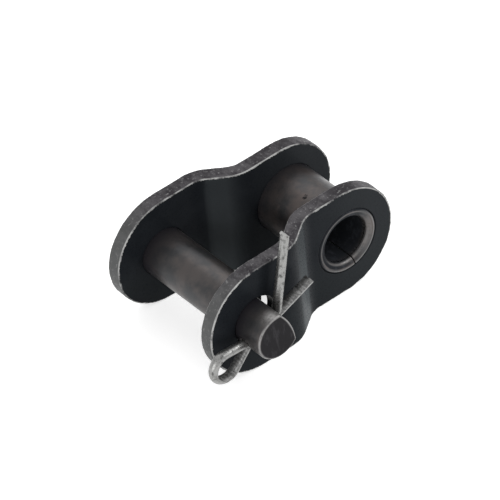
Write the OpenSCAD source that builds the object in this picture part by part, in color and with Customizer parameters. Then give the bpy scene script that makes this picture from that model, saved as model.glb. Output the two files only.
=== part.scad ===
// Offset link of a rollerless bush chain.
// Two cranked side plates carry a curled bush in their narrow ends and a link pin in their
// wide ends. The pin is riveted over on one plate and kept in the other by a split cotter pin.
// X runs from the pin to the bush, Y runs along the pin and Z is up.
// The origin is the middle of the bush's bore.

/* [Chain] */
// Distance from the pin's axis to the bush's axis
pitch = 9.525; // [9:0.005:14]
// Clear width between the plates at the bush
narrow_inside = 5.3; // [4:0.1:6.2]
// Clear width between the plates at the pin
wide_inside = 8.7; // [8:0.1:10.5]

/* [Side plates] */
// Thickness of the plate's steel strip
plate_t = 1.08; // [0.8:0.01:1.4]
// Height of the plate across its heads
plate_height = 8.6; // [7:0.1:10]
// How far each head's centre lies inside its hole's centre
head_inset = 0.32; // [0:0.01:0.5]
// Slope of the crank between the two ends
crank_angle = 36; // [30:1:44]
// Inside radius of the crank's bends
bend_radius = 1.8; // [0.5:0.1:2.4]

/* [Bush] */
// Outside diameter of the bush, on which the sprocket's teeth bear
bush_d = 5.08; // [4.6:0.01:5.8]
// Bore of the bush, a running fit on the next link's pin
bush_bore_d = 3.64; // [3:0.01:4]
// Width of the chamfer inside each end of the bush
mouth_width = 0.45; // [0.1:0.01:0.5]
// Depth of that chamfer along the bush
mouth_depth = 0.35; // [0.1:0.01:0.6]
// Width of the chamfer outside each end of the bush
bush_edge = 0.16; // [0.02:0.01:0.2]
// Gap at the bush's lengthwise seam
seam_gap = 0.1; // [0.05:0.01:0.3]
// Direction of the seam, seen from the cotter side and counted from +X
seam_angle = -78; // [-180:1:180]

/* [Link pin] */
// Diameter of the pin
pin_d = 3.58; // [3:0.01:4]
// Radial clearance of the pin in the cotter side plate
pin_slip = 0.05; // [0.01:0.01:0.15]
// Distance from the pin's axis to the middle of the flat on its loose end
pin_flat = 1.17; // [0.8:0.01:1.4]
// Radius of the slight crown across that flat
flat_curve = 4.6; // [3:0.1:12]
// How far the flat runs on past the plate's inner face
flat_run = 0.5; // [0.2:0.1:2]
// Turn of the pin about its axis, which tilts the cotter
pin_turn = 22; // [-45:1:45]
// Length of pin beyond the cotter's hole
pin_beyond = 1.1; // [0.5:0.05:2]
// Chamfer on the pin's loose end
pin_edge = 0.14; // [0.05:0.01:0.3]
// Height of the riveted head
rivet_height = 0.5; // [0.2:0.05:1]
// How far the riveted head spreads past the pin
rivet_spread = 0.22; // [0.1:0.01:0.5]

/* [Cotter pin] */
// Diameter of the two half-round legs together
wire_d = 0.8; // [0.5:0.05:0.9]
// Radial clearance of the legs in the pin's cross hole
cotter_slip = 0.08; // [0.05:0.01:0.15]
// Room between the plate and the cotter
cotter_gap = 0.4; // [0.2:0.05:1.5]
// Gap between the flats of the two legs
leg_gap = 0.06; // [0.02:0.01:0.1]
// Inside radius of the eye
eye_radius = 0.95; // [0.6:0.05:1.5]
// Slope of the strands that open into the eye
eye_spread = 26; // [15:1:45]
// Radius of the bends at the eye's neck and at the long leg, on the flat side
wire_bend = 0.5; // [0.5:0.05:1.2]
// Angle through which the long leg is bent up
leg_bend = 56; // [20:1:85]
// Length of the bent-up leg beyond its bend
long_leg = 6; // [3:0.1:9]
// Length of the straight leg beyond the pin's flat
short_leg = 3.3; // [2:0.1:6]

/* [Hidden] */
$fn = 96;
// Overrun of a cutting tool past the face that it cuts
cut = 0.5;

head_r = plate_height / 2;
narrow_outside = narrow_inside / 2 + plate_t;
wide_outside = wide_inside / 2 + plate_t;

// The crank's two bends, placed so that its slope runs tangent to both
crank_mid = -pitch / 2;
bend_rise = narrow_outside - wide_inside / 2 + 2 * bend_radius;
bend_span = (2 * bend_radius + plate_t - bend_rise * cos(crank_angle)) / sin(crank_angle);

bush_r = bush_d / 2;
bush_bore_r = bush_bore_d / 2;
bush_length = 2 * narrow_outside;

pin_r = pin_d / 2;
wire_r = wire_d / 2;
cross_hole_r = wire_r + leg_gap / 2 + cotter_slip;
cotter_y = -(wide_outside + cotter_gap + wire_r);
pin_end_y = cotter_y - cross_hole_r - pin_beyond;
rivet_y = wide_outside + rivet_height;

// The cotter's wire lies in a plane across the pin, with u along the cross hole and v up
leg_v = leg_gap / 2;
// The wire's round side bends on this radius, and passes the hole's mouths at this height
crown_bend = wire_bend - wire_r;
crown_v = cross_hole_r - cotter_slip / 2;
mouth_u = -sqrt(pin_r * pin_r - cross_hole_r * cross_hole_r);
neck_u = mouth_u + crown_bend * sin(eye_spread)
    + (crown_v - leg_v - wire_bend + crown_bend * cos(eye_spread)) / tan(eye_spread);
eye_run = (wire_bend + eye_radius - (leg_v + wire_bend) * cos(eye_spread)) / sin(eye_spread);
eye_centre = [neck_u - eye_run, 0];
leg_u = pin_flat - sqrt(pow(crown_bend, 2) - pow(leg_v + wire_bend - crown_v, 2));
leg_centre = [leg_u, leg_v + wire_bend];

// Points of an arc about a centre, with one point more than its steps
function arc(centre, r, from, to, steps = 8) = [
    for (i = [0 : steps])
        let (a = from + (to - from) * i / steps)
            centre + r * [cos(a), sin(a)]
];

// Stations of a bent wire, each a point on its flat and the direction of its round side
function wire_arc(centre, r, from, to, turn, steps = 8) = [
    for (i = [0 : steps])
        let (a = from + (to - from) * i / steps)
            [centre + r * [cos(a), sin(a)], a + turn]
];

// Outline of a plate blank, two round heads joined by straight flanks
module blank_outline() {
    flank = pitch - 2 * head_inset;
    translate([-pitch + head_inset, 0])
        circle(head_r);
    translate([-head_inset, 0])
        circle(head_r);
    translate([-pitch + head_inset, -head_r])
        square([flank, plate_height]);
}

// Steel strip bent to the crank, for the plate at +Y
module cranked_strip() {
    reach = head_r + cut;
    wide_bend = [crank_mid - bend_span / 2, wide_inside / 2 - bend_radius];
    narrow_bend = [crank_mid + bend_span / 2, narrow_outside + bend_radius];
    outer_r = bend_radius + plate_t;
    outer_face = concat(
        [[-pitch - reach, wide_outside]],
        arc(wide_bend, outer_r, 90, 90 - crank_angle),
        arc(narrow_bend, bend_radius, -90 - crank_angle, -90),
        [[reach, narrow_outside]]
    );
    inner_face = concat(
        [[reach, narrow_inside / 2]],
        arc(narrow_bend, outer_r, -90, -90 - crank_angle),
        arc(wide_bend, bend_radius, 90 - crank_angle, 90),
        [[-pitch - reach, wide_inside / 2]]
    );
    translate([0, 0, -head_r - cut])
        linear_extrude(plate_height + 2 * cut)
            polygon(concat(outer_face, inner_face));
}

// Round hole along Y at x, from y up to y plus length
module hole(x, y, length, r) {
    translate([x, y, 0])
        rotate([-90, 0, 0])
            cylinder(r = r, h = length);
}

// Side plate at +Y, with its pin hole at the given radius
module side_plate(pin_hole_r) {
    difference() {
        intersection() {
            cranked_strip();
            rotate([90, 0, 0])
                translate([0, 0, -wide_outside - cut])
                    linear_extrude(wide_outside + cut)
                        blank_outline();
        }
        hole(-pitch, wide_inside / 2 - cut, plate_t + 2 * cut, pin_hole_r);
        hole(0, narrow_inside / 2 - cut, plate_t + 2 * cut, bush_r);
    }
}

module cotter_side_plate() {
    color([0.13, 0.14, 0.15])
        mirror([0, 1, 0])
            side_plate(pin_r + pin_slip);
}

module head_side_plate() {
    color([0.13, 0.14, 0.15])
        side_plate(pin_r);
}

module bush() {
    half = bush_length / 2;
    mouth_r = bush_bore_r + mouth_width;
    color([0.34, 0.32, 0.31])
        difference() {
            rotate([-90, 0, 0])
                rotate_extrude()
                    polygon([
                        [bush_bore_r, mouth_depth - half],
                        [mouth_r, -half],
                        [bush_r - bush_edge, -half],
                        [bush_r, bush_edge - half],
                        [bush_r, half - bush_edge],
                        [bush_r - bush_edge, half],
                        [mouth_r, half],
                        [bush_bore_r, half - mouth_depth]
                    ]);
            rotate([0, -seam_angle, 0])
                translate([0, -half - cut, -seam_gap / 2])
                    cube([bush_r + cut, bush_length + 2 * cut, seam_gap]);
        }
}

// The pin's own axis lies along Y at x = -pitch, turned so that the cross hole is tilted
module at_pin() {
    translate([-pitch, 0, 0])
        rotate([0, -pin_turn, 0])
            children();
}

// What the crowned flat takes off the pin's loose end, over the given length
module crowned_flat(length) {
    translate([0, pin_end_y + length, 0])
        rotate([90, 0, 0])
            linear_extrude(length + cut)
                difference() {
                    translate([0, -pin_d])
                        square([pin_d, 2 * pin_d]);
                    translate([pin_flat - flat_curve, 0])
                        circle(flat_curve);
                }
}

module link_pin() {
    lip_r = pin_r + rivet_spread;
    flat_length = -pin_end_y - wide_inside / 2 + flat_run;
    color([0.36, 0.34, 0.33])
        at_pin()
            difference() {
                rotate([-90, 0, 0])
                    rotate_extrude()
                        polygon([
                            [0, pin_end_y],
                            [pin_r - pin_edge, pin_end_y],
                            [pin_r, pin_end_y + pin_edge],
                            [pin_r, wide_outside],
                            [lip_r, wide_outside],
                            [lip_r, wide_outside + rivet_height / 3],
                            [pin_r, rivet_y],
                            [0, rivet_y]
                        ]);
                crowned_flat(flat_length);
                translate([-pin_d, cotter_y, 0])
                    rotate([0, 90, 0])
                        cylinder(r = cross_hole_r, h = 2 * pin_d);
            }
}

// Stations along the wire, from the tip of the straight leg round the eye to the bent leg's tip
function cotter_path() = concat(
    [[[pin_flat + short_leg, -leg_v], -90]],
    wire_arc([neck_u, -leg_v - wire_bend], wire_bend, 90, 90 + eye_spread, 180),
    wire_arc(eye_centre, eye_radius, eye_spread - 90, -270 - eye_spread, 0, 28),
    wire_arc([neck_u, leg_v + wire_bend], wire_bend, -90 - eye_spread, -90, 180),
    wire_arc(leg_centre, wire_bend, -90, leg_bend - 90, 180, 10),
    [[
        leg_centre + wire_bend * [sin(leg_bend), -cos(leg_bend)]
            + long_leg * [cos(leg_bend), sin(leg_bend)],
        leg_bend + 90
    ]]
);

// Half-round wire swept along the path, its flat on the path itself
module cotter_wire() {
    path = cotter_path();
    sides = 12;
    ring = sides + 1;
    last = len(path) - 1;
    points = [
        for (station = path, j = [0 : sides])
            let (a = 180 * j / sides - 90, out = wire_r * cos(a))
                [
                    station[0][0] + out * cos(station[1]),
                    station[0][1] + out * sin(station[1]),
                    wire_r * sin(a)
                ]
    ];
    walls = [
        for (i = [0 : last - 1], j = [0 : sides])
            let (k = (j + 1) % ring)
                [i * ring + j, i * ring + k, (i + 1) * ring + k, (i + 1) * ring + j]
    ];
    first_cap = [for (j = [sides : -1 : 0]) j];
    last_cap = [for (j = [0 : sides]) last * ring + j];
    polyhedron(points, concat(walls, [first_cap, last_cap]));
}

module cotter_pin() {
    color([0.72, 0.72, 0.70])
        at_pin()
            translate([0, cotter_y, 0])
                rotate([90, 0, 0])
                    cotter_wire();
}

cotter_side_plate();
head_side_plate();
bush();
link_pin();
cotter_pin();
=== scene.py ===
"""Offset link of a bush chain: the finish of its pieces, and the studio they are seen in."""

import math

import bmesh
import bpy
import numpy as np
from mathutils import Matrix, Vector, noise


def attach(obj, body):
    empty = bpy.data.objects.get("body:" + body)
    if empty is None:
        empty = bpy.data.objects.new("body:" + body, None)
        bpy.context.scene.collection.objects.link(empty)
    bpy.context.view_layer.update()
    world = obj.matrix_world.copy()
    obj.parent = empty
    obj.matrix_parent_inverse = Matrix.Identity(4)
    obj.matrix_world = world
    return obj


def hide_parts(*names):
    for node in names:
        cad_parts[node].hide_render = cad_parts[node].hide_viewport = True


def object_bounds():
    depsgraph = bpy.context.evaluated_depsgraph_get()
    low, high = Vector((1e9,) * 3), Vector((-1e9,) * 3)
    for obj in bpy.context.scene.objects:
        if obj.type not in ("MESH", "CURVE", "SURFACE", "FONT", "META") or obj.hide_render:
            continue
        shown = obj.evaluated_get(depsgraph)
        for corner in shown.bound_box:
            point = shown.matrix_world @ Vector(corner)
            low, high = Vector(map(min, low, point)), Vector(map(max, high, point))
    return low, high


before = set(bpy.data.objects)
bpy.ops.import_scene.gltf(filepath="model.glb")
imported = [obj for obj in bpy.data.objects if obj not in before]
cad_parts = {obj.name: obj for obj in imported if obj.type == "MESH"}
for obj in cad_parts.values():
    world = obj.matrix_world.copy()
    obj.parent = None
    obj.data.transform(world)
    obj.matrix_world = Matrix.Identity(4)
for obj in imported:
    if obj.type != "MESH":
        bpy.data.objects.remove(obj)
cad_low, cad_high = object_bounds()

# Sizes in millimetres, as the solids have them
MM = 0.001
PITCH = 9.525
NARROW_INSIDE = 5.3
WIDE_INSIDE = 8.7
PLATE_T = 1.08
HEAD_R = 4.3
HEAD_INSET = 0.32
CRANK_ANGLE = math.radians(36)
BEND_RADIUS = 1.8
BUSH_R = 2.54
BUSH_BORE_R = 1.82
MOUTH_WIDTH = 0.45
MOUTH_DEPTH = 0.35
BUSH_EDGE = 0.16
SEAM_GAP = 0.1
SEAM_ANGLE = math.radians(-78)
PIN_R = 1.79
PIN_SLIP = 0.05
PIN_FLAT = 1.17
FLAT_CURVE = 4.6
FLAT_RUN = 0.5
PIN_TURN = math.radians(22)
PIN_BEYOND = 1.1
RIVET_HEIGHT = 0.5
RIVET_SPREAD = 0.22
WIRE_R = 0.4
COTTER_SLIP = 0.08
COTTER_GAP = 0.4
LEG_GAP = 0.06
EYE_RADIUS = 0.95
EYE_SPREAD = math.radians(26)
WIRE_BEND = 0.5
LEG_BEND = math.radians(56)
LONG_LEG = 6.0
SHORT_LEG = 3.3

# Sizes that follow from those
NARROW_OUTSIDE = NARROW_INSIDE / 2 + PLATE_T
WIDE_OUTSIDE = WIDE_INSIDE / 2 + PLATE_T
MOUTH_R = BUSH_BORE_R + MOUTH_WIDTH
BUSH_CORNER_R = BUSH_R - BUSH_EDGE
CROSS_HOLE_R = WIRE_R + LEG_GAP / 2 + COTTER_SLIP
COTTER_Y = -(WIDE_OUTSIDE + COTTER_GAP + WIRE_R)
PIN_END_Y = COTTER_Y - CROSS_HOLE_R - PIN_BEYOND
FLAT_END_Y = FLAT_RUN - WIDE_INSIDE / 2
RIVET_Y = WIDE_OUTSIDE + RIVET_HEIGHT
RIVET_R = PIN_R + RIVET_SPREAD

# Softened corners and spacing of the meshes, in millimetres
WELD = 0.0005
GRID_STEP = 0.075
PLATE_CORNER = 0.13
HOLE_LIP = 0.05
PIN_ROUND = 0.16
FROM_HOLE = np.array([0, 0.06, 0.15, 0.3])
FROM_EDGE = np.array([0.45, 0.28, 0.17, 0.09, 0.04, 0])
LIP_PULL = (0.03, 0.008)
RIVET_SOFT = 0.03
RIVET_SHOULDER = 0.05
RIVET_DROP = 0.02
RIVET_ROUND = 0.12
RIVET_RINGS = (1.0, 0.5)
BARREL_START = 0.1
FLAT_STEP = 0.02
END_RINGS = (0.3, 0.6)
END_FACE_R = PIN_R - PIN_ROUND - 0.06

# Numbers of points in the meshes
EDGE_ROWS = 11
CUT_STEPS = 57
FACE_ROWS = 9
MOUTH_STEPS = 9
BUSH_ROWS = 26
BUSH_STEPS = 241
PIN_EDGE_STEPS = 7
STUB_ROWS = 26
BARREL_ROWS = 30
FLAT_STEPS = 41
ROUND_STEPS = 161
DRILL_STEPS = 48
SECTION_STEPS = 20
SHORT_LEG_STEPS = 40
LONG_LEG_STEPS = 50
NECK_STEPS = 12
STRAND_STEPS = 12
EYE_STEPS = 64
HOLE_STEPS = 18
BEND_STEPS = 24
LENGTH_STEPS = 40001

# Waves and burrs of the punched plates: heights in millimetres, and repeats per millimetre
PLATE_WAVE = 0.006
PLATE_BURR = 0.022
WAVE_SCALE = 0.7
BURR_SCALE = 2.3
FINE_SCALE = 6.1
FINE_SHARE = 0.6
FINE_SHIFT = Vector((7, 3, 1))
LEAST_WEAR = 0.01

# Widths of the worn corners of the plates, in millimetres
FACE_RIM = 0.16
EDGE_RIM = 0.14

# The bush's end: widths in millimetres and strengths of its bright lines, edge wear with painted
# highlights, the side where the light falls, and where the painted shade towards the far plate begins
OUTER_LINE = 0.045
OUTER_HIGHLIGHT = 0.5
INNER_LINE = 0.06
INNER_LINE_R = BUSH_BORE_R + 0.1
INNER_HIGHLIGHT = 0.35
THIN_LINE = 0.03
THIN_HIGHLIGHT = 0.15
MOUTH_HIGHLIGHT = 0.22
LIT_ANGLE = math.radians(-55)
LIT_SPREAD = 1.2
END_MARGIN = 0.001
BORE_MARGIN = 0.02
BUSH_SHADE_Y = 0.2

# The pin: strengths along the rows of its rounded end, a painted highlight on top of the stub that is
# partly a rub, and painted shade near the plates
PIN_END_WEAR = (0.0, 0.3, 0.8, 0.6, 0.3, 0.1, 0.0)
PIN_END_DULL = (1, 1, 1, 0.6)
STUB_RUB_AND_HIGHLIGHT = 0.9
STUB_RUB_AND_HIGHLIGHT_Y = PIN_END_Y + 0.4
STUB_RUB_AND_HIGHLIGHT_LENGTH = 0.5
STUB_RUB_AND_HIGHLIGHT_ANGLE = 0.25
STUB_RUB_AND_HIGHLIGHT_SPREAD = 0.35
BARREL_SHADE_Y = 1.6
BARREL_SHADE_LENGTH = 3.0
STUB_SHADE_Y = PIN_END_Y + 0.8
STUB_SHADE_LENGTH = 1.6

# Strength and power of the painted highlight on the crank, by face (1 outside) and end (1 at the pin)
CRANK_HIGHLIGHT = {(1, 1): (1.0, 7), (1, -1): (1.0, 8), (-1, -1): (0.6, 2), (-1, 1): (0.6, 9)}

# Colours of the finishes, as linear shares of red, green and blue
OXIDE_DEEP = (0.0128, 0.0148, 0.0178)
OXIDE_MOTTLED = (0.0178, 0.0202, 0.0236)
OXIDE_PALER_END = (0.033, 0.036, 0.039)
# Painted bounce light from the floor, on the low part of the faces
OXIDE_FLOOR_BOUNCE = (0.030, 0.034, 0.036)
# Painted highlight on the crank
OXIDE_HIGHLIGHT = (0.086, 0.096, 0.101)
OXIDE_TINT = (0.80, 0.90, 1.0, 1)
TORN_DARK = (0.040, 0.037, 0.041)
TORN_LIGHT = (0.104, 0.099, 0.105)
# Painted light on the edges round the pin's end
TORN_HEAD_LIT = (0.135, 0.139, 0.137)
CHIPPED = (0.24, 0.24, 0.24)
WORN_CORNER = (0.52, 0.52, 0.512)
# Painted shade on the pin and the bush near the plates
PAINTED_PLATE_SHADE = (0.017, 0.016, 0.019)
# Painted shadow in the gap round the bush's end
GAP_SHADOW = (0.004, 0.004, 0.005)
NICK_BLACK = (0.006, 0.006, 0.007)
BUSH_WARM = (0.088, 0.075, 0.071)
# Bright lines on the bush's end: edge wear with painted highlights
BUSH_RING = (0.27, 0.275, 0.275)
# Painted shade on the bush's end, and its darker bore
BUSH_SHADE_AND_BORE = (0.021, 0.023, 0.027)
PIN_WARM = (0.083, 0.075, 0.073)
# Wear on the pin's end, and the painted highlight on top of its stub
PIN_RING = (0.32, 0.315, 0.31)
PIN_DULL = (0.025, 0.024, 0.026)
WIRE_BRIGHT = (0.28, 0.28, 0.274)
WIRE_FLECKED = (0.06, 0.06, 0.058)
SCORE_DARK = (0.13, 0.13, 0.128)
SCORE_LIGHT = (0.30, 0.30, 0.295)
WHITE = (1, 1, 1, 1)
PALE = (0.9, 0.9, 0.9, 1)

# Places of the nicks in the bush and the pin, in millimetres
BUSH_NICK = (-0.77, -0.47, 2.42)
PIN_NICK = (-PITCH, 1.9, -PIN_R)
NICK_STRETCH = 1.6

# The view, measured on the photograph: angles in degrees, offsets in millimetres
VIEW_AZIMUTH = math.radians(-36.34)
VIEW_ELEVATION = math.radians(41.61)
VIEW_ROLL = math.radians(-5.70)
VIEW_SIDEWAYS = -0.562
VIEW_UPWARDS = -0.132
VIEW_DISTANCE = 700
FRAME_PIXELS = 500
PIXELS_PER_MM = 14.752
SENSOR_WIDTH = 36
NEAREST_SEEN = 0.05
FARTHEST_SEEN = 5

# The studio: strengths as shares of white, lengths in metres, lamp powers in watts
SKY_LIGHT = 0.60
SKY_SEEN = 1.0
FLOOR_SEEN = 0.60
FLOOR_HALF = 0.25
FLOOR_ROUGHNESS = 0.8
LAMPS = (
    ("overhead_softbox", (0.12, 0.18, 0.24), 0.24, 0.18),
    ("side_softbox", (-0.24, -0.06, 0.06), 0.16, 0.18),
    ("front_softbox", (0.17, -0.14, 0.22), 0.18, 0.32),
)


def weld(mesh):
    """Joins the points of a mesh that meet, and turns its faces outwards."""
    work = bmesh.new()
    work.from_mesh(mesh)
    bmesh.ops.remove_doubles(work, verts=work.verts, dist=WELD * MM)
    bmesh.ops.recalc_face_normals(work, faces=work.faces)
    work.to_mesh(mesh)
    work.free()
    return mesh


class Shell:
    """Grids of points, in millimetres, that are welded into one closed mesh with attributes of wear and of
    painted light and shade.
    """

    def __init__(self):
        self.points = []
        self.wear = {"edge": [], "rim": [], "painted_sheen_and_shade": []}
        self.faces = []
        self.count = 0

    def add(self, points, edge=0.0, rim=0.0, painted_sheen_and_shade=0.0):
        """Adds points with their wear and painted light, and gives the number of the first."""
        first = self.count
        self.points.append(points.reshape(-1, 3))
        for label, values in (("edge", edge), ("rim", rim), ("painted_sheen_and_shade", painted_sheen_and_shade)):
            self.wear[label].append(np.broadcast_to(values, points.shape[:-1]).ravel())
        self.count += len(self.points[-1])
        return first

    def grid(self, points, edge=0.0, rim=0.0, painted_sheen_and_shade=0.0, wrap=False):
        """Adds rows by columns of points, joined into quads, with wrap closing the columns."""
        first = self.add(points, edge, rim, painted_sheen_and_shade)
        rows, columns = points.shape[:2]
        for i in range(rows - 1):
            low = first + i * columns
            high = low + columns
            for j in range(columns if wrap else columns - 1):
                k = (j + 1) % columns
                self.faces.append([low + j, low + k, high + k, high + j])

    def fan(self, ring, centre, rim=0.0):
        """Closes a ring of points with triangles to its centre."""
        first = self.add(np.vstack([ring, [centre]]), rim=rim)
        for j in range(len(ring)):
            k = (j + 1) % len(ring)
            self.faces.append([first + j, first + k, first + len(ring)])

    def polygon(self, points):
        """Adds one face without wear."""
        first = self.add(points)
        self.faces.append(list(range(first, first + len(points))))

    def mesh(self, name):
        """The welded mesh, in metres."""
        mesh = bpy.data.meshes.new(name)
        mesh.from_pydata((np.vstack(self.points) * MM).tolist(), [], self.faces)
        for label, values in self.wear.items():
            attribute = mesh.attributes.new(label, "FLOAT", "POINT")
            attribute.data.foreach_set("value", np.concatenate(values).astype(np.float32))
        return weld(mesh)


def add_object(name, data):
    """Puts a new object into the scene."""
    made = bpy.data.objects.new(name, data)
    bpy.context.scene.collection.objects.link(made)
    return made


def shaped_mesh(holder):
    """The mesh that an object has after its modifiers."""
    bpy.context.view_layer.update()
    shaped = holder.evaluated_get(bpy.context.evaluated_depsgraph_get())
    return bpy.data.meshes.new_from_object(shaped)


def add_piece(name, mesh, material, node):
    """Puts a finished mesh into the scene in place of its solid."""
    piece = add_object(name, mesh)
    mesh.materials.clear()
    mesh.materials.append(material)
    mesh.polygons.foreach_set("use_smooth", [True] * len(mesh.polygons))
    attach(piece, "root")
    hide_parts(node)


def crank(s, w):
    """X, Y and slope of the +Y plate at s along its middle from the pin and w out from its middle."""
    middle_r = BEND_RADIUS + PLATE_T / 2
    rise = NARROW_OUTSIDE - WIDE_INSIDE / 2 + 2 * BEND_RADIUS
    span = (2 * BEND_RADIUS + PLATE_T - rise * math.cos(CRANK_ANGLE)) / math.sin(CRANK_ANGLE)
    slope = span * math.cos(CRANK_ANGLE) - rise * math.sin(CRANK_ANGLE)
    wide_x = -PITCH / 2 - span / 2
    # Lengths at which the first bend starts and stops, and the second starts and stops
    s1 = wide_x + PITCH
    s2 = s1 + middle_r * CRANK_ANGLE
    s3 = s2 + slope
    s4 = s3 + middle_r * CRANK_ANGLE
    flat = np.minimum(s, s1) - s1
    ramp = np.clip(s, s2, s3) - s2
    end = np.maximum(s, s4) - s4
    first = np.clip((s - s1) / middle_r, 0, CRANK_ANGLE)
    second = CRANK_ANGLE - np.clip((s - s3) / middle_r, 0, CRANK_ANGLE)
    x = wide_x + flat + middle_r * np.sin(first) + ramp * math.cos(CRANK_ANGLE)
    x = x + middle_r * (math.sin(CRANK_ANGLE) - np.sin(second)) + end
    y = WIDE_INSIDE / 2 + PLATE_T / 2 - middle_r * (1 - np.cos(first)) - ramp * math.sin(CRANK_ANGLE)
    y = y - middle_r * (np.cos(second) - math.cos(CRANK_ANGLE))
    angle = first + second - CRANK_ANGLE
    return x + w * np.sin(angle), y + w * np.cos(angle), np.clip(angle / CRANK_ANGLE, 0, 1)


def crank_lengths():
    """Lengths along the plate's middle from the pin to the crank's middle and to the bush."""
    s = np.linspace(0, 2 * PITCH, LENGTH_STEPS)
    x, _, _ = crank(s, 0)
    return np.interp(-PITCH / 2, x, s), np.interp(0, x, s)


def quarter(face, steps=5):
    """Profile of a plate's rounded corner, each point an inset from the edge and a height."""
    angles = np.linspace(0, math.pi / 2, steps)
    inward = PLATE_CORNER * (1 - np.sin(angles))
    height = face - math.copysign(PLATE_CORNER, face) * (1 - np.cos(angles))
    return list(zip(inward, height))


def edge_profile():
    """Insets and heights across the punched edge, from the outer face to the inner."""
    t = PLATE_T / 2
    straight = [(0, w) for w in np.linspace(t, -t, EDGE_ROWS)[2:-2]]
    return quarter(t) + straight + quarter(-t)[::-1]


def hole_profile(r):
    """Radii and heights through a hole with softened lips, from the outer face to the inner."""
    t = PLATE_T / 2
    lip = HOLE_LIP * np.array([(1, 0), (0.4, 0.15), (0.1, 0.5), (0, 1)])
    outside = [(r + out, t - down) for out, down in lip]
    return outside + [(r + out, down - t) for out, down in lip[::-1]]


def end_outline(q_cut):
    """Outline of a plate's end, as flank, head and flank, and its directions inwards."""
    flank_q = np.linspace(q_cut, HEAD_INSET, int((q_cut - HEAD_INSET) / GRID_STEP))
    turn = np.linspace(math.pi / 2, 3 * math.pi / 2, int(math.pi * HEAD_R / GRID_STEP))[1:-1]
    head = np.column_stack([np.cos(turn), np.sin(turn)])
    upper = np.column_stack([flank_q, np.full_like(flank_q, HEAD_R)])
    lower = upper[::-1] * (1, -1)
    down = np.tile([0.0, -1.0], (len(flank_q), 1))
    outline = np.concatenate([upper, (HEAD_INSET, 0) + HEAD_R * head, lower])
    return outline, np.concatenate([down, -head, -down])


def edge_distance(q, z):
    """Distance of points on a plate's end from its edge."""
    return np.where(q < HEAD_INSET, HEAD_R - np.hypot(q - HEAD_INSET, z), HEAD_R - np.abs(z))


def face_rows(inner, outer):
    """Points from a hole out to an outline, closer together near both, as rows of q and of z."""
    length = np.linalg.norm(outer - inner, axis=1)[:, None]
    near = np.tile(FROM_HOLE, (len(length), 1))
    middle = np.linspace(0, 1, FACE_ROWS)[1:-1]
    between = FROM_HOLE[-1] + middle * (length - FROM_HOLE[-1] - FROM_EDGE[0])
    share = np.concatenate([near, between, length - FROM_EDGE], axis=1) / length
    q = inner[:, 0:1] + share * (outer - inner)[:, 0:1]
    z = inner[:, 1:2] + share * (outer - inner)[:, 1:2]
    return q.T, z.T


def half_plate(shell, side, hole_s, toward, middle_s, hole):
    """One end of a plate, from its hole out to its edge and to the middle of the crank."""
    q_cut = (middle_s - hole_s) * toward
    outline, inward = end_outline(q_cut)
    edge = edge_profile()
    cut_z = np.linspace(-1, 1, CUT_STEPS)[1:-1]

    def place(q, z, w):
        x, y, _ = crank(hole_s + toward * q, w)
        return np.stack([x, side * y, z], axis=-1)

    # The two faces
    for face, (hole_r, _), (inset, _) in ((1, hole[0], edge[0]), (-1, hole[-1], edge[-1])):
        cut = np.column_stack([np.full_like(cut_z, q_cut), cut_z * (HEAD_R - inset)])
        outer = np.concatenate([outline + inset * inward, cut])
        angle = np.arctan2(outer[:, 1], outer[:, 0])
        q, z = face_rows(hole_r * np.column_stack([np.cos(angle), np.sin(angle)]), outer)
        rim = np.exp(-(edge_distance(q, z) / FACE_RIM) ** 2)
        # The painted highlight on the crank grows with its slope
        _, _, slope = crank(hole_s + toward * q, 0)
        strength, power = CRANK_HIGHLIGHT[face, toward]
        shell.grid(place(q, z, face * PLATE_T / 2), 0.0, rim, strength * slope ** power, wrap=True)
    # The punched edge
    inset, w = np.array(edge).T[:, :, None]
    band = 1 - np.clip(inset / PLATE_CORNER, 0, 1)
    rim = np.exp(-((PLATE_T / 2 - np.abs(w)) / EDGE_RIM) ** 2)
    q = outline[:, 0] + inset * inward[:, 0]
    z = outline[:, 1] + inset * inward[:, 1]
    shell.grid(place(q, z, w), band, rim)
    # The hole
    hole_r, w = np.array(hole).T[:, :, None]
    shell.grid(place(hole_r * np.cos(angle), hole_r * np.sin(angle), w), wrap=True)


def roughen(mesh):
    """Leaves a punched plate slightly wavy, with burrs along its edges."""
    count = len(mesh.vertices)
    edge, rim = np.zeros(count, np.float32), np.zeros(count, np.float32)
    points, normals = np.zeros(3 * count, np.float32), np.zeros(3 * count, np.float32)
    mesh.attributes["edge"].data.foreach_get("value", edge)
    mesh.attributes["rim"].data.foreach_get("value", rim)
    mesh.vertices.foreach_get("co", points)
    mesh.vertices.foreach_get("normal", normals)
    points, normals = points.reshape(-1, 3), normals.reshape(-1, 3)
    worn = np.maximum(edge, rim)
    lift = np.zeros(count, np.float32)
    for i, point in enumerate(points / MM):
        at = Vector(point)
        lift[i] = PLATE_WAVE * noise.noise(at * WAVE_SCALE)
        if worn[i] > LEAST_WEAR:
            ragged = noise.noise(at * BURR_SCALE)
            ragged += FINE_SHARE * noise.noise(at * FINE_SCALE + FINE_SHIFT)
            lift[i] += PLATE_BURR * worn[i] * ragged
    points += normals * lift[:, None] * MM
    mesh.vertices.foreach_set("co", points.ravel())
    mesh.update()
    return mesh


def plate_mesh(name, side, pin_hole_r):
    """A cranked side plate at +Y or -Y."""
    middle_s, bush_s = crank_lengths()
    shell = Shell()
    half_plate(shell, side, 0.0, 1, middle_s, hole_profile(pin_hole_r))
    half_plate(shell, side, bush_s, -1, middle_s, hole_profile(BUSH_R))
    return roughen(shell.mesh(name))


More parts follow.
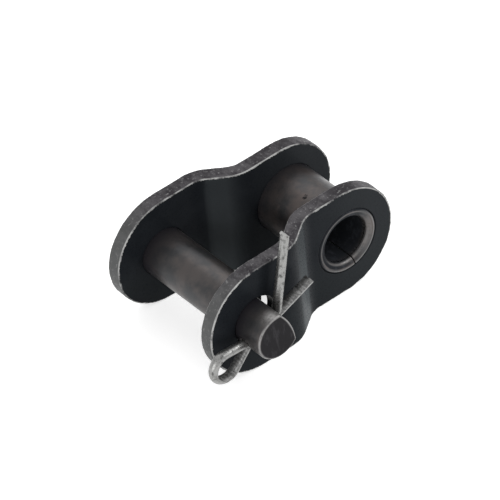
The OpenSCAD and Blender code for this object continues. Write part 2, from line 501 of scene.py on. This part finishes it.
def bush_profile():
    """Radii and Y round the bush's wall: near end, outside, far end and bore."""
    half = NARROW_OUTSIDE
    turn = np.linspace(0, math.pi / 2, MOUTH_STEPS)
    run = np.linspace(-half, half, BUSH_ROWS)[1:-1]
    end = [(MOUTH_R - MOUTH_WIDTH * math.cos(a), MOUTH_DEPTH * (1 - math.sin(a))) for a in turn]
    end += [(BUSH_R - BUSH_EDGE * (1 - math.sin(a)), BUSH_EDGE * (1 - math.cos(a))) for a in turn]
    profile = [(r, depth - half) for r, depth in end]
    profile += [(BUSH_R, y) for y in run]
    profile += [(r, half - depth) for r, depth in reversed(end)]
    profile += [(BUSH_BORE_R, y) for y in run[::-1]]
    return np.array(profile).T


def bush_angles():
    """Angles from one lip of the bush's seam round to the other, and how far each corner is drawn in."""
    lip = SEAM_GAP / 2 / BUSH_R * np.array([1, 1.25, 1.9])
    between = np.linspace(0, 2 * math.pi, BUSH_STEPS)[2:-2]
    angle = SEAM_ANGLE + np.concatenate([lip, between, 2 * math.pi - lip[::-1]])
    pull = np.zeros_like(angle)
    pull[[0, -1]] = LIP_PULL[0]
    pull[[1, -2]] = LIP_PULL[1]
    return angle[:, None], pull[:, None]


def bush_wear_and_light(r, y, angle):
    """Bright ring, dark parts and painted shade towards the far plate of the bush: its end carries edge
    wear with painted highlights, brightest on the lower right where the light falls, and painted shade in
    its mouth, in its gap and away from the light.
    """
    from_end = NARROW_OUTSIDE - np.abs(y)
    on_end = from_end < MOUTH_DEPTH + END_MARGIN
    in_mouth = on_end & (r < MOUTH_R)
    right = 0.5 + 0.5 * np.cos(angle)
    below = 0.5 - 0.5 * np.sin(angle)
    # The side of the end where the light falls, for its painted highlights
    lit = np.clip(0.5 + LIT_SPREAD * np.cos(angle - LIT_ANGLE), 0, 1)
    outer_line = on_end * np.exp(-((r - BUSH_CORNER_R) / OUTER_LINE) ** 2)
    inner_line = in_mouth * np.exp(-((r - INNER_LINE_R) / INNER_LINE) ** 2)
    thin_line = on_end * np.exp(-((r - MOUTH_R) / THIN_LINE) ** 2)
    # Bright lines: edge wear with painted highlights, strongest where the light falls
    ring = OUTER_HIGHLIGHT * lit * outer_line + THIN_HIGHLIGHT * (1 - lit) * thin_line
    ring = ring + INNER_HIGHLIGHT * below ** 3 * inner_line + MOUTH_HIGHLIGHT * right ** 3 * in_mouth
    # Darker inside the bore
    bore = (r < BUSH_BORE_R + BORE_MARGIN) * np.clip(from_end / MOUTH_DEPTH - 0.9, 0, 1)
    # Painted shadow in the gap round the rounded outer edge
    gap = on_end * np.clip((r - BUSH_CORNER_R) / BUSH_EDGE * 3 - 0.5, 0, 1) * (1 + lit)
    # Painted shade in the mouth, except where the light falls on its right
    mouth = in_mouth * (1 - lit * right ** 2) * (1 - inner_line * below)
    unlit = on_end * (1 - lit) * (1 - thin_line)
    dull_and_shaded = np.maximum(np.maximum(bore, gap), np.maximum(mouth, unlit))
    # Painted shade on the barrel towards the far plate
    plate_shade = np.where(on_end, 0, np.clip(y - BUSH_SHADE_Y, 0, None) / NARROW_OUTSIDE)
    return ring, dull_and_shaded, plate_shade


def bush_mesh():
    """The curled bush, a tube whose edges meet at an open seam with rounded corners."""
    r, y = bush_profile()
    angle, pull = bush_angles()
    radius = r - np.sign(r - (BUSH_R + BUSH_BORE_R) / 2) * pull
    x, z = radius * np.cos(angle), radius * np.sin(angle)
    points = np.stack([x, np.broadcast_to(y, x.shape), z], axis=-1)
    shell = Shell()
    shell.grid(points, *bush_wear_and_light(r, y, angle), wrap=True)
    shell.polygon(points[0])
    shell.polygon(points[-1])
    return shell.mesh("bush_tube")


def at_pin(points):
    """Places points given about the pin's own axis, with x along the cross hole and z up."""
    x, y, z = points[..., 0], points[..., 1], points[..., 2]
    c, s = math.cos(PIN_TURN), math.sin(PIN_TURN)
    return np.stack([c * x - s * z - PITCH, y, s * x + c * z], axis=-1)


def flat_outline():
    """Angles round the pin's loose end, its radius at each, and the angle of the flat's upper corner."""
    # The flat bulges a little, on a large circle through its two corners
    far = PIN_FLAT - FLAT_CURVE
    corner = math.acos((far ** 2 + PIN_R ** 2 - FLAT_CURVE ** 2) / (2 * far) / PIN_R)
    flat = np.linspace(-corner, corner, FLAT_STEPS)
    rest = np.linspace(corner, 2 * math.pi - corner, ROUND_STEPS)[1:-1]
    bulge = far * np.cos(flat) + np.sqrt(FLAT_CURVE ** 2 - (far * np.sin(flat)) ** 2)
    return np.concatenate([flat, rest]), np.concatenate([bulge, np.full_like(rest, PIN_R)]), corner


def stub_profile():
    """Radii and Y along the pin's loose end, from its end face to where the flat stops."""
    turn = np.linspace(0, math.pi / 2, PIN_EDGE_STEPS)
    run = np.linspace(PIN_END_Y + PIN_ROUND, FLAT_END_Y - FLAT_STEP, STUB_ROWS)[1:]
    profile = [(END_FACE_R, PIN_END_Y)]
    for a in turn:
        profile.append((PIN_R - PIN_ROUND * (1 - math.sin(a)), PIN_END_Y + PIN_ROUND * (1 - math.cos(a))))
    profile += [(PIN_R, y) for y in run]
    return profile + [(PIN_R, FLAT_END_Y)]


def barrel_profile():
    """Radii and Y along the pin's barrel and over its riveted head."""
    profile = [(PIN_R, FLAT_END_Y + FLAT_STEP)]
    profile += [(PIN_R, y) for y in np.linspace(FLAT_END_Y + BARREL_START, WIDE_OUTSIDE, BARREL_ROWS)]
    profile += [
        (RIVET_R - RIVET_SOFT, WIDE_OUTSIDE),
        (RIVET_R, WIDE_OUTSIDE + RIVET_SOFT),
        (RIVET_R, WIDE_OUTSIDE + RIVET_HEIGHT / 3),
        (RIVET_R - RIVET_SHOULDER, WIDE_OUTSIDE + RIVET_HEIGHT / 2),
        (PIN_R, RIVET_Y - RIVET_DROP),
        (PIN_R - RIVET_ROUND, RIVET_Y),
    ]
    return profile + [(r, RIVET_Y) for r in RIVET_RINGS]


def pin_wear_and_light(along, past_corner):
    """Edge wear, matt end and painted shade near the plates of the pin, with a painted highlight, partly a
    rub, on top of the stub, by Y and by angle past the flat's upper corner.
    """
    worn = np.zeros_like(along)
    start = len(END_RINGS) + 1
    worn[start:start + PIN_EDGE_STEPS, 0] = PIN_END_WEAR
    # A painted highlight on top of the stub, beside the upper corner of its flat, that is partly a rub
    bright = np.exp(-((along - STUB_RUB_AND_HIGHLIGHT_Y) / STUB_RUB_AND_HIGHLIGHT_LENGTH) ** 2) * (along > PIN_END_Y)
    bright = bright * np.exp(-((past_corner - STUB_RUB_AND_HIGHLIGHT_ANGLE) / STUB_RUB_AND_HIGHLIGHT_SPREAD) ** 2)
    worn = np.maximum(worn, STUB_RUB_AND_HIGHLIGHT * bright)
    dull_and_shaded = np.zeros_like(along)
    dull_and_shaded[:len(PIN_END_DULL), 0] = PIN_END_DULL
    # Painted shade on the barrel towards the far plate and on the stub towards the near plate
    barrel_shade = np.clip((along - BARREL_SHADE_Y) / BARREL_SHADE_LENGTH, 0, 1) * (along < WIDE_OUTSIDE)
    stub_shade = np.clip((along - STUB_SHADE_Y) / STUB_SHADE_LENGTH, 0, 1) * (along < -WIDE_INSIDE / 2)
    return worn, dull_and_shaded, barrel_shade + stub_shade


def pin_mesh():
    """The link pin: riveted head, plain barrel, and a loose end with a crowned flat and a cross hole."""
    angle, limit, corner = flat_outline()
    rows = [(np.full_like(angle, r), PIN_END_Y) for r in END_RINGS]
    rows += [(np.minimum(r, limit - (PIN_R - r)), y) for r, y in stub_profile()]
    rows += [(np.full_like(angle, r), y) for r, y in barrel_profile()]
    radius = np.array([r for r, _ in rows])
    along = np.array([y for _, y in rows])[:, None]
    x, z = radius * np.cos(angle), radius * np.sin(angle)
    points = at_pin(np.stack([x, np.broadcast_to(along, x.shape), z], axis=-1))
    shell = Shell()
    shell.grid(points, *pin_wear_and_light(along, angle - corner), wrap=True)
    shell.fan(points[0], at_pin(np.array([0.0, PIN_END_Y, 0.0])), rim=1.0)
    shell.fan(points[-1], at_pin(np.array([0.0, RIVET_Y, 0.0])))
    return drilled(shell.mesh("pin_body"))


def drilled(mesh):
    """The pin's mesh with the cotter's cross hole cut through it."""
    centre = at_pin(np.array([0.0, COTTER_Y, 0.0]))
    along = Vector((math.cos(PIN_TURN), 0, math.sin(PIN_TURN)))
    turn = Vector((0, 0, 1)).rotation_difference(along).to_matrix().to_4x4()
    drill_mesh = bpy.data.meshes.new("drill")
    work = bmesh.new()
    bmesh.ops.create_cone(
        work, cap_ends=True, segments=DRILL_STEPS, radius1=CROSS_HOLE_R * MM, radius2=CROSS_HOLE_R * MM,
        depth=4 * PIN_R * MM, matrix=Matrix.Translation(Vector(centre) * MM) @ turn,
    )
    work.to_mesh(drill_mesh)
    work.free()
    pin = add_object("pin_blank", mesh)
    drill = add_object("drill", drill_mesh)
    cut = pin.modifiers.new("cross_hole", "BOOLEAN")
    cut.operation = "DIFFERENCE"
    cut.solver = "EXACT"
    cut.object = drill
    result = shaped_mesh(pin)
    bpy.data.objects.remove(pin)
    bpy.data.objects.remove(drill)
    return result


def arc(centre, r, start, stop, steps):
    """Points round part of a circle."""
    a = np.linspace(start, stop, steps)
    return np.column_stack([centre[0] + r * np.cos(a), centre[1] + r * np.sin(a)])


def line(start, stop, steps):
    """Points between two others, without those."""
    return np.linspace(start, stop, steps)[1:-1]


def cotter_path():
    """Points along the flat of the cotter's wire, from the straight leg's tip to the bent leg's tip."""
    leg_v = LEG_GAP / 2
    # The bends start inside the cross hole, where the wire's round side still clears its mouths
    crown_bend = WIRE_BEND - WIRE_R
    crown_v = CROSS_HOLE_R - COTTER_SLIP / 2
    neck_u = crown_bend * math.sin(EYE_SPREAD) - math.sqrt(PIN_R ** 2 - CROSS_HOLE_R ** 2)
    neck_u += (crown_v - leg_v - WIRE_BEND + crown_bend * math.cos(EYE_SPREAD)) / math.tan(EYE_SPREAD)
    run = (WIRE_BEND + EYE_RADIUS - (leg_v + WIRE_BEND) * math.cos(EYE_SPREAD)) / math.sin(EYE_SPREAD)
    leg_u = PIN_FLAT - math.sqrt(crown_bend ** 2 - (leg_v + WIRE_BEND - crown_v) ** 2)
    square = math.pi / 2
    low_neck = arc((neck_u, -leg_v - WIRE_BEND), WIRE_BEND, square, square + EYE_SPREAD, NECK_STEPS)
    eye = arc((neck_u - run, 0), EYE_RADIUS, EYE_SPREAD - square, -3 * square - EYE_SPREAD, EYE_STEPS)
    top_neck = arc((neck_u, leg_v + WIRE_BEND), WIRE_BEND, -square - EYE_SPREAD, -square, NECK_STEPS)
    bend = arc((leg_u, leg_v + WIRE_BEND), WIRE_BEND, -square, LEG_BEND - square, BEND_STEPS)
    tip = bend[-1] + LONG_LEG * np.array([math.cos(LEG_BEND), math.sin(LEG_BEND)])
    start = np.array([PIN_FLAT + SHORT_LEG, -leg_v])
    return np.concatenate([
        [start],
        line(start, low_neck[0], SHORT_LEG_STEPS),
        low_neck,
        line(low_neck[-1], eye[0], STRAND_STEPS),
        eye,
        line(eye[-1], top_neck[0], STRAND_STEPS),
        top_neck,
        line(top_neck[-1], bend[0], HOLE_STEPS),
        bend,
        line(bend[-1], tip, LONG_LEG_STEPS),
        [tip],
    ])


def half_round_section(nodes, link, given):
    """Nodes of a closed half circle that carries its height above the flat as wear."""
    section = nodes.new("GeometryNodeCurveArc")
    section.inputs["Start Angle"].default_value = 0
    section.inputs["Sweep Angle"].default_value = math.pi
    link(given.outputs["Wire radius"], section.inputs["Radius"])
    link(given.outputs["Section steps"], section.inputs["Resolution"])
    position = nodes.new("GeometryNodeInputPosition")
    place = nodes.new("ShaderNodeSeparateXYZ")
    link(position.outputs[0], place.inputs[0])
    share = nodes.new("ShaderNodeMath")
    share.operation = "DIVIDE"
    link(place.outputs["Y"], share.inputs[0])
    link(given.outputs["Wire radius"], share.inputs[1])
    mark = nodes.new("GeometryNodeStoreNamedAttribute")
    mark.data_type = "FLOAT"
    mark.domain = "POINT"
    mark.inputs["Name"].default_value = "edge"
    link(section.outputs["Curve"], mark.inputs["Geometry"])
    link(share.outputs[0], mark.inputs["Value"])
    closed = nodes.new("GeometryNodeSetSplineCyclic")
    closed.inputs["Cyclic"].default_value = True
    link(mark.outputs[0], closed.inputs[0])
    return closed.outputs[0]


def wire_tree():
    """Geometry nodes that sweep a half-round section along a curve, and the names of their inputs."""
    tree = bpy.data.node_groups.new("half_round_wire", "GeometryNodeTree")
    socket = tree.interface.new_socket
    socket("Geometry", in_out="INPUT", socket_type="NodeSocketGeometry")
    radius = socket("Wire radius", in_out="INPUT", socket_type="NodeSocketFloat")
    steps = socket("Section steps", in_out="INPUT", socket_type="NodeSocketInt")
    finish = socket("Finish", in_out="INPUT", socket_type="NodeSocketMaterial")
    socket("Geometry", in_out="OUTPUT", socket_type="NodeSocketGeometry")
    radius.default_value = WIRE_R * MM
    steps.default_value = SECTION_STEPS
    nodes, link = tree.nodes, tree.links.new
    given, made = nodes.new("NodeGroupInput"), nodes.new("NodeGroupOutput")
    sweep = nodes.new("GeometryNodeCurveToMesh")
    sweep.inputs["Fill Caps"].default_value = True
    link(given.outputs["Geometry"], sweep.inputs["Curve"])
    link(half_round_section(nodes, link, given), sweep.inputs["Profile Curve"])
    real = nodes.new("GeometryNodeRealizeInstances")
    paint = nodes.new("GeometryNodeSetMaterial")
    link(sweep.outputs[0], real.inputs[0])
    link(real.outputs[0], paint.inputs["Geometry"])
    link(given.outputs["Finish"], paint.inputs["Material"])
    link(paint.outputs[0], made.inputs[0])
    return tree, radius.identifier, steps.identifier, finish.identifier


def cotter_mesh(material):
    """The split pin: one half-round wire that follows its path round the eye and back."""
    flat = cotter_path()
    path = at_pin(np.column_stack([flat[:, 0], np.full(len(flat), COTTER_Y), flat[:, 1]])) * MM
    curve = bpy.data.curves.new("cotter_route", "CURVE")
    curve.dimensions = "3D"
    route = curve.splines.new("POLY")
    route.points.add(len(path) - 1)
    for point, co in zip(route.points, path):
        point.co = (*co, 1)
    holder = add_object("cotter_route", curve)
    tree, radius, steps, finish = wire_tree()
    sweep = holder.modifiers.new("half_round_wire", "NODES")
    sweep.node_group = tree
    sweep[radius] = WIRE_R * MM
    sweep[steps] = SECTION_STEPS
    sweep[finish] = material
    mesh = shaped_mesh(holder)
    bpy.data.objects.remove(holder)
    return weld(mesh)


class Finish:
    """A procedural material whose patterns are in millimetres."""

    def __init__(self, name):
        self.material = bpy.data.materials.new(name)
        self.material.use_nodes = True
        self.nodes = self.material.node_tree.nodes
        self.links = self.material.node_tree.links
        self.shader = self.nodes["Principled BSDF"]
        self.where = self.nodes.new("ShaderNodeTexCoord").outputs["Object"]

    def node(self, kind, **settings):
        """A new node with its settings."""
        made = self.nodes.new(kind)
        for key, value in settings.items():
            setattr(made, key, value)
        return made

    def feed(self, socket, value):
        """Links an output to a socket, or sets a plain value on it."""
        if isinstance(value, bpy.types.NodeSocket):
            self.links.new(value, socket)
        else:
            socket.default_value = value

    def shade(self, name, value):
        """Gives the shader one of its values."""
        self.feed(self.shader.inputs[name], value)

    def math(self, operation, first, second):
        """A sum, product or the like of two values."""
        made = self.node("ShaderNodeMath", operation=operation)
        self.feed(made.inputs[0], first)
        self.feed(made.inputs[1], second)
        return made.outputs[0]

    def attribute(self, name):
        """Wear that the mesh carries."""
        return self.node("ShaderNodeAttribute", attribute_name=name).outputs["Fac"]

    def millimetres(self, stretch=(1, 1, 1), turn=(0, 0, 0)):
        """Object coordinates in millimetres, stretched or turned for a pattern."""
        made = self.node("ShaderNodeMapping")
        self.links.new(self.where, made.inputs["Vector"])
        made.inputs["Scale"].default_value = [x / MM for x in stretch]
        made.inputs["Rotation"].default_value = turn
        return made.outputs[0]

    def axes(self, vector):
        """The X, Y and Z of a vector."""
        made = self.node("ShaderNodeSeparateXYZ")
        self.feed(made.inputs[0], vector)
        return made.outputs

    def noise(self, vector, scale, detail=3.0, roughness=0.55):
        """A cloudy pattern from 0 to 1."""
        made = self.node("ShaderNodeTexNoise")
        self.links.new(vector, made.inputs["Vector"])
        made.inputs["Scale"].default_value = scale
        made.inputs["Detail"].default_value = detail
        made.inputs["Roughness"].default_value = roughness
        return made.outputs["Fac"]

    def ramp(self, value, low, high, bottom=0.0, top=1.0):
        """Value from low to high turned into bottom to top, softly, and held beyond them."""
        made = self.node("ShaderNodeMapRange", interpolation_type="SMOOTHSTEP")
        self.links.new(value, made.inputs["Value"])
        for key, number in (("From Min", low), ("From Max", high), ("To Min", bottom), ("To Max", top)):
            made.inputs[key].default_value = number
        return made.outputs["Result"]

    def mix(self, share, first, second):
        """Colours mixed by a share from 0 to 1."""
        made = self.node("ShaderNodeMix", data_type="RGBA")
        self.feed(made.inputs[0], share)
        for socket, value in ((made.inputs[6], first), (made.inputs[7], second)):
            self.feed(socket, (*value, 1) if isinstance(value, tuple) else value)
        return made.outputs[2]

    def bump(self, height, distance, strength, under=None):
        """A normal that follows a pattern's height, on top of another normal."""
        made = self.node("ShaderNodeBump")
        made.inputs["Strength"].default_value = strength
        made.inputs["Distance"].default_value = distance * MM
        self.links.new(height, made.inputs["Height"])
        if under is not None:
            self.links.new(under, made.inputs["Normal"])
        return made.outputs[0]


def oxide_face(f, place, across):
    """Blackened faces: mottled, paler towards the narrow end, with painted bounce light from the floor low
    down and a painted highlight on the crank that fades upwards.
    """
    mottle = f.noise(place, scale=0.45, detail=4)
    face = f.mix(f.ramp(mottle, 0.35, 0.7), OXIDE_DEEP, OXIDE_MOTTLED)
    # Paler towards the narrow end
    paler_narrow_end = f.ramp(across["X"], -0.45 * PITCH, 0.3 * PITCH, bottom=0.0, top=0.8)
    face = f.mix(paler_narrow_end, face, OXIDE_PALER_END)
    # Painted bounce light from the floor: paler low down
    low = f.ramp(across["Z"], 0.5, -2.0, bottom=0.0, top=0.45)
    face = f.mix(low, face, OXIDE_FLOOR_BOUNCE)
    # Painted highlight on the crank, fading towards the top
    fading = f.ramp(across["Z"], -1.0, 4.0, bottom=1.0, top=0.55)
    return f.mix(f.math("MULTIPLY", f.attribute("painted_sheen_and_shade"), fading), face, OXIDE_HIGHLIGHT)


def torn_edge(f, place, across, flecks):
    """Punched edges: torn and grey, with painted light on the edges round the pin's end, and small bright
    chips.
    """
    torn = f.mix(f.ramp(flecks, 0.36, 0.66), TORN_DARK, TORN_LIGHT)
    # Painted light: the edges round the pin's end are paler
    head = f.ramp(across["X"], -1.4 * PITCH, -PITCH, bottom=0.7, top=0.0)
    torn = f.mix(head, torn, TORN_HEAD_LIT)
    chips = f.noise(place, scale=4.0, detail=4, roughness=0.7)
    return f.mix(f.ramp(chips, 0.57, 0.68, bottom=0.0, top=0.8), torn, CHIPPED)


def black_oxide():
    """Blackened plate steel: oily mottled faces, grey punched edges and bright worn corners."""
    f = Finish("black_oxide_plate")
    place = f.millimetres()
    across = f.axes(place)
    grain = f.noise(place, scale=7.0, detail=5, roughness=0.65)
    flecks = f.noise(f.millimetres((0.8, 0.5, 0.8)), scale=1.5, detail=6, roughness=0.68)
    edge = f.attribute("edge")
    rim = f.attribute("rim")
    face = oxide_face(f, place, across)
    torn = torn_edge(f, place, across, flecks)
    colour = f.mix(f.ramp(edge, 0.25, 0.8), face, torn)
    patches = f.noise(place, scale=0.6, detail=6, roughness=0.72)
    worn = f.math("MULTIPLY", f.ramp(rim, 0.70, 0.95), f.ramp(patches, 0.34, 0.58))
    f.shade("Base Color", f.mix(worn, colour, WORN_CORNER))
    f.shade("Roughness", f.ramp(grain, 0.3, 0.7, bottom=0.24, top=0.36))
    f.shade("Specular IOR Level", 0.02)
    f.shade("Specular Tint", OXIDE_TINT)
    ragged = f.math("MULTIPLY", flecks, f.math("MAXIMUM", edge, f.ramp(rim, 0.5, 0.95)))
    normal = f.bump(ragged, distance=0.09, strength=0.7)
    f.shade("Normal", f.bump(grain, distance=0.002, strength=0.3, under=normal))
    return f.material


def nicked(f, colour, speck, nick):
    """A colour with a small ragged dark nick at a place in millimetres."""
    gap = f.node("ShaderNodeVectorMath", operation="DISTANCE")
    f.feed(gap.inputs[0], f.millimetres((1, 1, NICK_STRETCH)))
    gap.inputs[1].default_value = (nick[0], nick[1], NICK_STRETCH * nick[2])
    ragged = f.math("ADD", gap.outputs["Value"], f.math("MULTIPLY", speck, 0.8))
    return f.mix(f.ramp(ragged, 0.46, 0.60, bottom=1.0, top=0.0), colour, NICK_BLACK)


def tinted_steel(name, warm, ring, end, nick):
    """Heat-tinted steel with faint turning lines, painted shade near the plates, a bright ring of wear and
    painted highlights, and a matt end on the pin, and on the bush painted shade at its end and a darker
    bore.
    """
    f = Finish(name)
    place = f.millimetres()
    lines = f.noise(f.millimetres((1, 9, 1)), scale=1.6, detail=3, roughness=0.6)
    cloud = f.noise(place, scale=0.7, detail=4)
    speck = f.noise(place, scale=4.5, detail=4, roughness=0.7)
    streaks = f.noise(f.millimetres((1.6, 1.0, 0.5), (0, 0.5, 0)), scale=1.5, detail=4, roughness=0.65)
    plate_shade = f.attribute("painted_sheen_and_shade")
    rim = f.attribute("rim")
    grey = (0.7 * warm[2], 0.71 * warm[2], 0.74 * warm[2])
    colour = f.mix(f.ramp(cloud, 0.35, 0.65), grey, warm)
    colour = f.mix(f.ramp(lines, 0.55, 0.8, bottom=0.0, top=0.35), colour, tuple(1.4 * x for x in warm))
    # Painted shade near the plates
    colour = f.mix(f.ramp(plate_shade, 0.0, 1.0), colour, PAINTED_PLATE_SHADE)
    # A matt end on the pin; on the bush, painted shade on its end and a darker bore
    dull_end_and_shade = f.mix(f.ramp(streaks, 0.50, 0.70), end, tuple(1.8 * x for x in end))
    colour = f.mix(f.ramp(rim, 0.0, 1.0), colour, dull_end_and_shade)
    # Painted shadow in the gap round the bush's end
    colour = f.mix(f.ramp(rim, 1.0, 2.0), colour, GAP_SHADOW)
    colour = nicked(f, colour, speck, nick)
    # Bright ring: wear, and painted highlights on the bush's end and on top of the pin's stub
    worn = f.math("MULTIPLY", f.attribute("edge"), f.ramp(speck, 0.30, 0.55, bottom=0.35, top=1.0))
    # Painted shade and the matt end reflect less
    dull_and_shaded = f.math("MAXIMUM", plate_shade, rim)
    f.shade("Base Color", f.mix(worn, colour, ring))
    f.shade("Metallic", f.ramp(dull_and_shaded, 0.0, 1.0, bottom=0.85, top=0.0))
    f.shade("Roughness", f.ramp(lines, 0.3, 0.7, bottom=0.30, top=0.42))
    f.shade("Specular IOR Level", f.ramp(dull_and_shaded, 0.0, 1.0, bottom=0.2, top=0.02))
    turned = f.bump(lines, distance=0.004, strength=0.5)
    f.shade("Normal", f.bump(speck, distance=0.012, strength=0.5, under=turned))
    return f.material


def bright_wire():
    """Bright drawn wire of the cotter, scuffed, with dark flecks and tool marks across its flats."""
    f = Finish("bright_cotter_wire")
    flecks = f.noise(f.millimetres(), scale=3.0, detail=5, roughness=0.72)
    marks = f.noise(f.millimetres((1.0, 0.35, 1.0)), scale=6.5, detail=3, roughness=0.6)
    edge = f.attribute("edge")
    flat = f.ramp(edge, 0.02, 0.10, bottom=1.0, top=0.0)
    colour = f.mix(f.ramp(flecks, 0.48, 0.70), WIRE_BRIGHT, WIRE_FLECKED)
    scored = f.mix(f.ramp(marks, 0.40, 0.62), SCORE_DARK, SCORE_LIGHT)
    f.shade("Base Color", f.mix(flat, colour, scored))
    f.shade("Metallic", f.ramp(edge, 0.02, 0.10, bottom=0.3, top=0.85))
    f.shade("Roughness", f.ramp(flecks, 0.3, 0.7, bottom=0.20, top=0.42))
    scuffed = f.bump(flecks, distance=0.02, strength=0.6)
    f.shade("Normal", f.bump(marks, distance=0.02, strength=0.5, under=scuffed))
    return f.material


def view_axes():
    """Right, up and back directions of the photograph's camera."""
    back = Vector((
        math.sin(VIEW_AZIMUTH) * math.cos(VIEW_ELEVATION),
        -math.cos(VIEW_AZIMUTH) * math.cos(VIEW_ELEVATION),
        math.sin(VIEW_ELEVATION),
    ))
    level = Vector((0, 0, 1)).cross(back).normalized()
    upright = back.cross(level)
    right = math.cos(VIEW_ROLL) * level + math.sin(VIEW_ROLL) * upright
    up = math.cos(VIEW_ROLL) * upright - math.sin(VIEW_ROLL) * level
    return right, up, back


def set_camera():
    """The camera, far off with a long lens, as the photograph's view asks."""
    right, up, back = view_axes()
    target = Vector((-PITCH / 2, 0, 0)) + VIEW_SIDEWAYS * right + VIEW_UPWARDS * up
    data = bpy.data.cameras.new("camera")
    data.sensor_width = SENSOR_WIDTH
    data.lens = PIXELS_PER_MM * VIEW_DISTANCE * SENSOR_WIDTH / FRAME_PIXELS
    data.clip_start = NEAREST_SEEN
    data.clip_end = FARTHEST_SEEN
    camera = add_object("camera", data)
    turn = Matrix((right, up, back)).transposed().to_4x4()
    camera.matrix_world = Matrix.Translation((target + VIEW_DISTANCE * back) * MM) @ turn
    bpy.context.scene.camera = camera


def strength_for_seen(nodes, links, plain, seen):
    """One strength for what is seen directly or mirrored, and another for light that falls on things."""
    path = nodes.new("ShaderNodeLightPath")
    mirrored = nodes.new("ShaderNodeMath")
    mirrored.operation = "MAXIMUM"
    links.new(path.outputs["Is Glossy Ray"], mirrored.inputs[0])
    links.new(path.outputs["Is Transmission Ray"], mirrored.inputs[1])
    either = nodes.new("ShaderNodeMath")
    either.operation = "MAXIMUM"
    links.new(path.outputs["Is Camera Ray"], either.inputs[0])
    links.new(mirrored.outputs[0], either.inputs[1])
    strength = nodes.new("ShaderNodeMapRange")
    strength.inputs["To Min"].default_value = plain
    strength.inputs["To Max"].default_value = seen
    links.new(either.outputs[0], strength.inputs["Value"])
    return strength.outputs["Result"]


def set_surroundings():
    """White surroundings that light the link more softly than they look."""
    world = bpy.data.worlds.new("studio")
    bpy.context.scene.world = world
    world.use_nodes = True
    nodes, links = world.node_tree.nodes, world.node_tree.links
    sky = nodes["Background"]
    sky.inputs["Color"].default_value = WHITE
    links.new(strength_for_seen(nodes, links, SKY_LIGHT, SKY_SEEN), sky.inputs["Strength"])


def add_floor():
    """A pale floor under the link that keeps its shadow."""
    corners = [(x * FLOOR_HALF, y * FLOOR_HALF, cad_low.z) for x, y in ((-1, -1), (1, -1), (1, 1), (-1, 1))]
    mesh = bpy.data.meshes.new("floor")
    mesh.from_pydata(corners, [], [(0, 1, 2, 3)])
    floor = add_object("floor", mesh)
    paint = bpy.data.materials.new("pale_floor")
    paint.use_nodes = True
    nodes, links = paint.node_tree.nodes, paint.node_tree.links
    shader = nodes["Principled BSDF"]
    shader.inputs["Base Color"].default_value = PALE
    shader.inputs["Roughness"].default_value = FLOOR_ROUGHNESS
    shader.inputs["Emission Color"].default_value = WHITE
    links.new(strength_for_seen(nodes, links, 0.0, FLOOR_SEEN), shader.inputs["Emission Strength"])
    mesh.materials.append(paint)


def add_lamps():
    """Three soft lamps turned to the middle of the link."""
    middle = (cad_low + cad_high) / 2
    for name, offset, width, power in LAMPS:
        lamp = bpy.data.lights.new(name, "AREA")
        lamp.shape = "SQUARE"
        lamp.size = width
        lamp.energy = power
        holder = add_object(name, lamp)
        holder.location = middle + Vector(offset)
        holder.rotation_euler = (-Vector(offset)).to_track_quat("-Z", "Y").to_euler()


set_camera()
set_surroundings()
add_floor()
add_lamps()

plate_finish = black_oxide()
bush_finish = tinted_steel("tinted_bush", BUSH_WARM, BUSH_RING, BUSH_SHADE_AND_BORE, BUSH_NICK)
pin_finish = tinted_steel("tinted_pin", PIN_WARM, PIN_RING, PIN_DULL, PIN_NICK)
wire_finish = bright_wire()

near_plate = plate_mesh("near_plate", -1, PIN_R + PIN_SLIP)
far_plate = plate_mesh("far_plate", 1, PIN_R)
add_piece("near_plate", near_plate, plate_finish, "cotter_side_plate")
add_piece("far_plate", far_plate, plate_finish, "head_side_plate")
add_piece("curled_bush", bush_mesh(), bush_finish, "bush")
add_piece("loose_pin", pin_mesh(), pin_finish, "link_pin")
add_piece("split_pin", cotter_mesh(wire_finish), wire_finish, "cotter_pin")

bpy.context.scene.view_settings.view_transform = "Standard"
